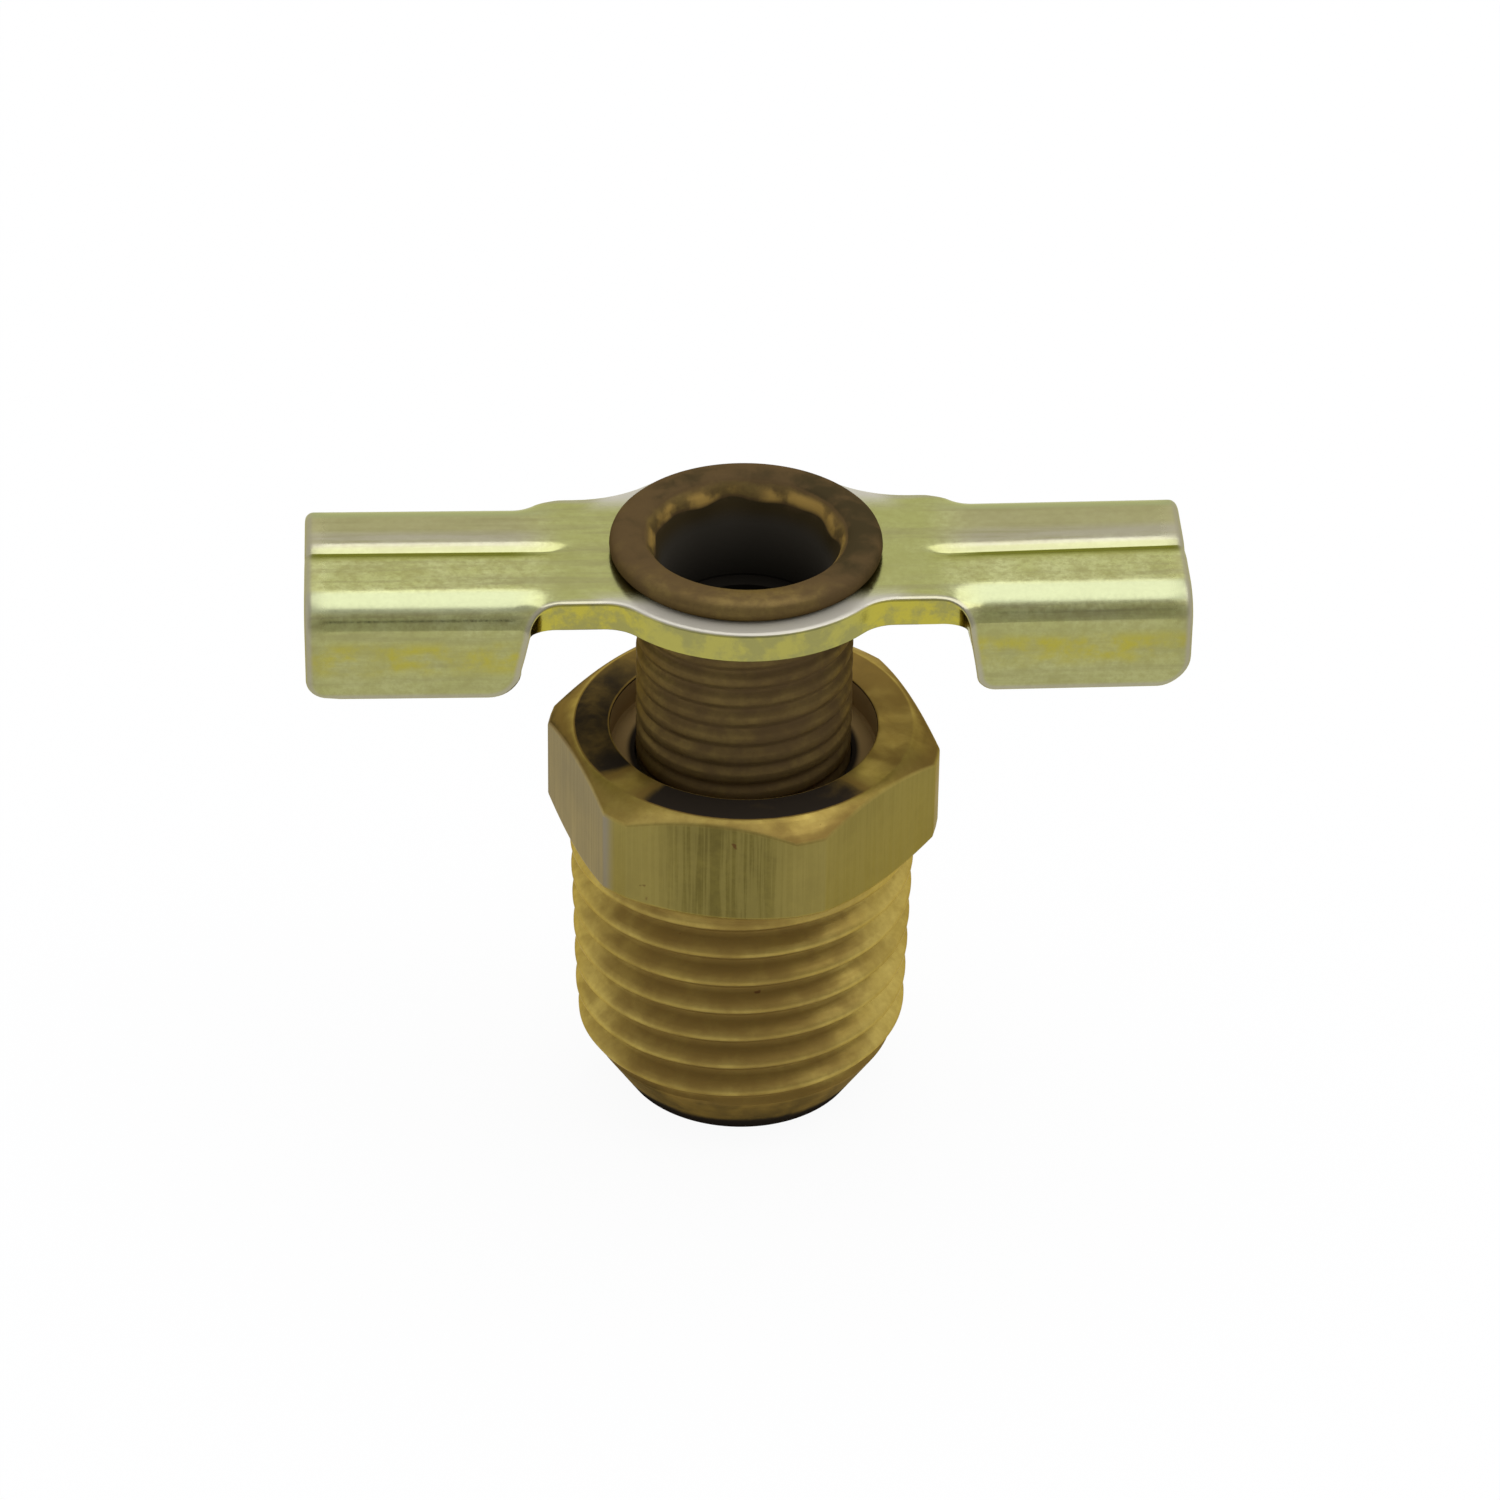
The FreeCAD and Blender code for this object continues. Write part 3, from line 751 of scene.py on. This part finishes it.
def quarter_outline(waist, blend, start_round, tip_round):
    """A quarter of the blank: from the eye over its blend, along the waist and the notch, round the flap."""
    blend_along = math.sqrt((eye_radius + blend) ** 2 - (waist + blend) ** 2)
    eye_angle = math.degrees(math.atan2(waist + blend, blend_along))
    flap_start = (wing_start + wing_lean + start_round, blank_half - start_round)
    flap_tip = (handle_tip - tip_round, blank_half - tip_round)
    points = quarter_round((0.0, 0.0), eye_radius, 90, eye_angle, 10)
    points += quarter_round((blend_along, waist + blend), blend, eye_angle - 180, -90, 8)[1:]
    points += quarter_round((notch_start, waist + notch_round), notch_round, -90, 0, 12)
    points += quarter_round(flap_start, start_round, 180, 90)
    return points + quarter_round(flap_tip, tip_round, 90, 0)


outline = quarter_outline(back_waist, back_blend, small_corner, large_corner)
front = quarter_outline(front_waist, front_blend, small_corner, large_corner)
outline += [(along, -across) for along, across in reversed(front)]
front = quarter_outline(front_waist, front_blend, large_corner, small_corner)
outline += [(-along, -across) for along, across in front[1:]]
back = quarter_outline(back_waist, back_blend, large_corner, small_corner)
outline += [(-along, across) for along, across in reversed(back[1:])]

bpy.ops.object.select_all(action="DESELECT")
bpy.ops.mesh.primitive_circle_add(vertices=len(outline), radius=eye_radius, fill_type="NGON")
handle = bpy.context.object
handle.name = handle.data.name = "pressed_wing_handle"
for vertex, corner in zip(handle.data.vertices, outline):
    vertex.co = (*corner, 0.0)
bpy.ops.object.mode_set(mode="EDIT")
bpy.ops.mesh.select_all(action="SELECT")
bpy.ops.mesh.normals_make_consistent(inside=False)
for share in (0.04, 0.09, 0.14, 0.2, 0.24, 0.29):
    bpy.ops.mesh.inset(thickness=share * tip_edge_round, use_boundary=True)
crease_steps = (0.0, 0.06, 0.14, 0.24, 0.34, 0.44, 0.54, 0.62, 0.72, 0.84, 1.0, 1.2, 1.4, 1.75, 2.1)
lanes = [step * MM for step in crease_steps]
lanes += [fold_line + (upper_arc + lower_arc) * step / 16 for step in range(17)]
lanes += [blank_half * step for step in (0.75, 0.83, 0.92)]
for lane in [-lane for lane in lanes[1:]] + lanes:
    bpy.ops.mesh.select_all(action="SELECT")
    bpy.ops.mesh.bisect(plane_co=(0, lane, 0), plane_no=(0, 1, 0))
stations = [eye_radius * 0.5]
stations += [crease_from + (crease_full - crease_from) * step / 5 for step in range(6)]
stations += [fold_from + (fold_full - fold_from) * step / 14 for step in range(15)]
stations += [fold_full + (handle_tip - fold_full) * step / 12 for step in range(1, 12)]
for station in [-station for station in stations] + stations + [0.0]:
    bpy.ops.mesh.select_all(action="SELECT")
    bpy.ops.mesh.bisect(plane_co=(station, 0, 0), plane_no=(1, 0, 0))
bpy.ops.mesh.select_all(action="SELECT")
bpy.ops.mesh.remove_doubles(threshold=WELD)
bpy.ops.mesh.extrude_region_move(TRANSFORM_OT_translate={"value": (0, 0, -sheet)})
bpy.ops.object.mode_set(mode="OBJECT")

edges = [(Vector(first), Vector(last)) for first, last in zip(outline, outline[1:] + outline[:1])]
across_sheet = handle.data.attributes.new("across", "FLOAT", "POINT")
edge_distance = handle.data.attributes.new("from_edge", "FLOAT", "POINT")
for vertex in handle.data.vertices:
    blank_point = vertex.co.to_2d()
    inset = 1.0
    for first, last in edges:
        run = last - first
        share = min(1.0, max(0.0, (blank_point - first).dot(run) / run.length_squared))
        inset = min(inset, (blank_point - first - share * run).length)
    upper, bent = folded(*blank_point)
    if vertex.co.z > -sheet / 2:
        at_tip = ease(abs(blank_point.x), *tip_edge_fade)
        depth = worn_edge(inset, top_edge_round + (tip_edge_round - top_edge_round) * at_tip)
    else:
        depth = sheet - worn_edge(inset, under_edge_round)
        thrust = notch_bulge * (1 - ease(abs(blank_point.x), wing_start, notch_bulge_end))
        bent *= 1 - thrust * (1 - ease(abs(blank_point.y), *notch_bulge_fade))
    vertex.co = upper - depth * Vector((0.0, math.sin(bent), math.cos(bent)))
    across_sheet.data[vertex.index].value = blank_point.y / MM
    edge_distance.data[vertex.index].value = inset / MM


def finish_modifier(piece, kind, **settings):
    """A modifier put on a piece with its settings and applied."""
    bpy.ops.object.select_all(action="DESELECT")
    bpy.context.view_layer.objects.active = piece
    piece.select_set(True)
    modifier = piece.modifiers.new(kind.lower(), kind)
    for setting, value in settings.items():
        setattr(modifier, setting, value)
    bpy.ops.object.modifier_apply(modifier=modifier.name)


bpy.ops.object.select_all(action="DESELECT")
bpy.ops.mesh.primitive_cylinder_add(
    vertices=96, radius=eye_hole_radius, depth=4 * sheet, location=(0, 0, plate_top - sheet / 2)
)
eye_punch = bpy.context.object
finish_modifier(handle, "BOOLEAN", operation="DIFFERENCE", object=eye_punch, solver="EXACT")
bpy.data.objects.remove(eye_punch)
bpy.ops.object.mode_set(mode="EDIT")
bpy.ops.mesh.select_all(action="SELECT")
bpy.ops.mesh.remove_doubles(threshold=WELD)
bpy.ops.mesh.normals_make_consistent(inside=False)
bpy.ops.object.mode_set(mode="OBJECT")
bpy.ops.object.shade_smooth_by_angle(angle=math.radians(26))


def band(tree, value, rise, fall, strength=1.0):
    """A mask with two soft edges: it rises over one range and falls over the other."""
    return overlap(tree, spread(tree, value, *rise), spread(tree, value, *fall, 0.0, strength))


waist_green = srgb(155, 156, 97)
back_grey = srgb(154, 148, 112)
crease_lilac = srgb(166, 160, 150)
roll_brown = srgb(142, 136, 98)
far_wall_sheen = srgb(159, 159, 120)
crease_shade_olive = srgb(102, 104, 28)
fold_sheen = srgb(157, 161, 124)
flange_shade_green = srgb(150, 148, 92)
passivate_yellow = srgb(169, 161, 64)
rim_silver = srgb(164, 158, 142)
tip_silver = srgb(158, 151, 128)
eye_sheen_silver = srgb(186, 181, 168)
eye_edge_gold = srgb(168, 162, 84)
waist_edge_gold = srgb(180, 170, 68)
edge_dull = srgb(142, 139, 88)
wing_edge_grey = srgb(160, 150, 104)
plated_steel, tree, shader = metal("plated_steel")
shader.inputs["Specular Tint"].default_value = (0.85, 0.85, 0.55, 1.0)
object_place = piece_place(tree)
along = unsigned(tree, place(tree, "ShaderNodeSeparateXYZ", {"Vector": object_place}).outputs["X"])
across = mask(tree, "across")
off_middle = unsigned(tree, across)
from_edge = mask(tree, "from_edge")
from_axis = stretched(tree, object_place, (1.0, 1.0, 0.0))
from_axis = place(tree, "ShaderNodeVectorMath", {0: from_axis}, operation="LENGTH").outputs["Value"]
roll_noise = noise(tree, stretched(tree, object_place, (120.0, 1700.0, 1700.0)), 1.0, 5.0, 0.65)
flow_noise = noise(tree, stretched(tree, object_place, (260.0, 260.0, 520.0)), 1.0, 6.0, 0.6)
patch_noise = noise(tree, object_place, 700.0, 5.0, 0.65)
fine_noise = noise(tree, object_place, 5200.0, 3.0, 0.6)

on_wing = spread(tree, along, 7.0 * MM, 9.5 * MM)
on_waist = spread(tree, along, 9.0 * MM, 7.0 * MM, 0.0, 0.7)
back_half = overlap(tree, on_wing, spread(tree, across, 0.2, 1.0, 0.0, 0.75))
beside_crease = overlap(tree, on_wing, band(tree, across, (0.12, 0.4), (1.7, 1.0), 0.6))
rolled = spread(tree, roll_noise, 0.42, 0.7, 0.0, 0.6)
# Painted sheen: the crease's far wall and the fold are paler and whiter where their highlights fall.
far_wall = overlap(tree, on_wing, band(tree, across, (0.0, 0.06), (0.5, 0.15), 0.8))
# Painted shade: a dark olive line along the bottom of the crease.
crease_shade = overlap(tree, on_wing, band(tree, across, (-0.85, -0.1), (0.05, 0.0), 0.95))
on_fold = overlap(tree, on_wing, band(tree, off_middle, (2.5, 2.9), (3.9, 3.6), 0.9))
# Painted shade: the flanges are darker, as if they mirrored the shaded table.
flange_shade = spread(tree, off_middle, 4.0, 4.8, 0.0, 0.5)
yellow_patch = band(tree, off_middle, (4.8, 5.5), (6.8, 6.0))
yellow_patch = overlap(tree, yellow_patch, spread(tree, flow_noise, 0.34, 0.54))
yellow_patch = overlap(tree, yellow_patch, spread(tree, patch_noise, 0.4, 0.62, 1.0, 0.25))
rim_width = spread(tree, along, 5.0 * MM, 8.0 * MM, 0.75, 0.35)
worn_rim = overlap(tree, spread(tree, from_edge, rim_width, 0.15), 0.7)
worn_tip = spread(tree, along, 16.8 * MM, 17.7 * MM, 0.0, 0.55)
# Painted light: a pale, mostly unmetallic ring on the eye round the stem's rim, so that it shows lit instead
# of mirroring the dark rim.
round_rim = band(tree, from_axis, (4.8 * MM, 5.3 * MM), (7.4 * MM, 6.4 * MM))
eye_ring_sheen = overlap(tree, round_rim, spread(tree, off_middle, 2.6, 4.2))
cut_edge = spread(tree, from_edge, 0.08, 0.01)

plating = use_effect(
    tree,
    patina,
    {
        "Clean": srgb(188, 190, 136),
        "Dull": srgb(176, 178, 118),
        "Tarnish": srgb(148, 143, 90),
        "Grime_and_shade": srgb(136, 128, 96),
        "Patch": 620.0,
        "Deep": 0.03,
        "Uneven": 0.2,
        "Grain": 0.5,
    },
)["Color"]
for film, colour in (
    (on_waist, waist_green),
    (back_half, back_grey),
    (beside_crease, crease_lilac),
    (rolled, roll_brown),
    (far_wall, far_wall_sheen),
    (crease_shade, crease_shade_olive),
    (on_fold, fold_sheen),
    (flange_shade, flange_shade_green),
    (yellow_patch, passivate_yellow),
    (worn_rim, rim_silver),
    (worn_tip, tip_silver),
    (overlap(tree, eye_ring_sheen, 0.9), eye_sheen_silver),
):
    plating = blend_colour(tree, film, plating, colour)
edge = blend_colour(tree, spread(tree, along, 3.6 * MM, 5.0 * MM), eye_edge_gold, waist_edge_gold)
edge = blend_colour(tree, spread(tree, patch_noise, 0.42, 0.6, 0.0, 0.75), edge, edge_dull)
edge = blend_colour(tree, spread(tree, along, 8.2 * MM, 8.8 * MM), edge, wing_edge_grey)
tree.links.new(blend_colour(tree, cut_edge, plating, edge), shader.inputs["Base Color"])
# The eye's pale ring is made less metallic, as painted light.
eye_sheen_diffuse = overlap(tree, eye_ring_sheen, spread(tree, from_edge, 0.02, 0.1))
tree.links.new(spread(tree, eye_sheen_diffuse, 0.0, 1.0, 1.0, 0.25), shader.inputs["Metallic"])
rolled_rough = spread(tree, fine_noise, 0.2, 0.8, 0.15, 0.25)
tip_rough = spread(tree, along, 16.3 * MM, 17.2 * MM, 0.0, 0.2)
tree.links.new(combine(tree, "ADD", rolled_rough, tip_rough), shader.inputs["Roughness"])
bump = place(tree, "ShaderNodeBump", {"Strength": 0.1, "Distance": 0.01 * MM, "Height": fine_noise})
tree.links.new(bump.outputs["Normal"], shader.inputs["Normal"])
handle.data.materials.append(plated_steel)
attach(handle, "wing_handle")
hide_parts("wing_handle")

# Studio. A white table in soft light: one broad lamp overhead, and a room that is bright behind the object
# and darker on the camera's side, as in a plain product photograph.
white_share = 0.94
bpy.ops.object.select_all(action="DESELECT")
bpy.ops.mesh.primitive_plane_add(size=4.0, location=(0, 0, 0))
floor = bpy.context.object
floor.name = "white_table"
table_paper = bpy.data.materials.new("table_paper")
table_paper.use_nodes = True
tree = table_paper.node_tree
paper = tree.nodes["Principled BSDF"]
paper.inputs["Base Color"].default_value = (0.85, 0.85, 0.85, 1.0)
paper.inputs["Roughness"].default_value = 0.9
paper.inputs["Specular IOR Level"].default_value = 0.0
rays = place(tree, "ShaderNodeLightPath", {}).outputs
seen = combine(tree, "MAXIMUM", rays["Is Glossy Ray"], rays["Is Transmission Ray"])
seen = combine(tree, "MAXIMUM", rays["Is Camera Ray"], seen)
white = place(tree, "ShaderNodeEmission", {"Color": (1.0, 1.0, 1.0, 1.0), "Strength": 1.0})
table_mix = place(
    tree,
    "ShaderNodeMixShader",
    {0: overlap(tree, seen, white_share), 1: paper.outputs["BSDF"], 2: white.outputs["Emission"]},
)
tree.links.new(table_mix.outputs["Shader"], tree.nodes["Material Output"].inputs["Surface"])
floor.data.materials.append(table_paper)

front_grey = (0.6, 0.6, 0.6, 1.0)
back_white = (1.0, 1.0, 0.98, 1.0)
ceiling_grey = (0.72, 0.71, 0.76, 1.0)
dimmed_grey = (0.52, 0.52, 0.52, 1.0)
lens_black = (0.02, 0.02, 0.02, 1.0)
lens_direction = (0.0, -0.824, 0.567)
room = bpy.data.worlds.new("studio_room")
bpy.context.scene.world = room
room.use_nodes = True
tree = room.node_tree
looking = place(tree, "ShaderNodeTexCoord", {}).outputs["Generated"]
facing = place(tree, "ShaderNodeSeparateXYZ", {"Vector": looking}).outputs
camera_side = place(
    tree, "ShaderNodeVectorMath", {0: looking, 1: lens_direction}, operation="DOT_PRODUCT"
).outputs["Value"]
room_colour = blend_colour(tree, spread(tree, facing["Y"], -0.8, 0.3), front_grey, back_white)
room_colour = blend_colour(tree, spread(tree, facing["Z"], 0.6, 0.72), room_colour, ceiling_grey)
room_colour = blend_colour(tree, spread(tree, camera_side, 0.8, 0.985), room_colour, dimmed_grey)
room_colour = blend_colour(tree, spread(tree, camera_side, 0.9965, 0.9992), room_colour, lens_black)
tree.links.new(room_colour, tree.nodes["Background"].inputs["Color"])

lamp_data = bpy.data.lights.new("overhead_softbox", "AREA")
lamp_data.shape = "RECTANGLE"
lamp_data.size = 0.7
lamp_data.size_y = 0.4
lamp_data.energy = 1.62
lamp_data.color = (0.92, 0.94, 1.0)
lamp = bpy.data.objects.new("overhead_softbox", lamp_data)
lamp.location = (0.1, 0.09, 0.49)
lamp.rotation_euler = lamp.location.to_track_quat("Z", "Y").to_euler()
bpy.context.scene.collection.objects.link(lamp)

# Camera. A long lens 280 mm away, 34.5 degrees above the table and a little left of square to the handle.
camera_distance = 280 * MM
camera_rise = math.radians(34.54)
camera_roll = math.radians(0.81)
picture_pixels = 1500
focal_pixels = 6957.7
aim_point = Vector((0.273 * MM, 0.0, 15.43 * MM))
camera_turn = Matrix.Rotation(VIEWED_FROM + math.radians(90), 3, "Z")
level_right = camera_turn @ Vector((1.0, 0.0, 0.0))
towards_camera = camera_turn @ Vector((0.0, -math.cos(camera_rise), math.sin(camera_rise)))
level_up = towards_camera.cross(level_right)
picture_right = math.cos(camera_roll) * level_right + math.sin(camera_roll) * level_up
picture_up = math.cos(camera_roll) * level_up - math.sin(camera_roll) * level_right
camera_data = bpy.data.cameras.new("camera")
camera_data.sensor_width = 36.0
camera_data.lens = camera_data.sensor_width * focal_pixels / picture_pixels
camera_data.clip_start = 0.01
camera_data.clip_end = 10.0
camera = bpy.data.objects.new("camera", camera_data)
camera.location = camera_turn @ aim_point + camera_distance * towards_camera
camera.rotation_euler = Matrix((picture_right, picture_up, towards_camera)).transposed().to_euler()
bpy.context.scene.collection.objects.link(camera)
bpy.context.scene.camera = camera
bpy.context.scene.view_settings.view_transform = "Standard"
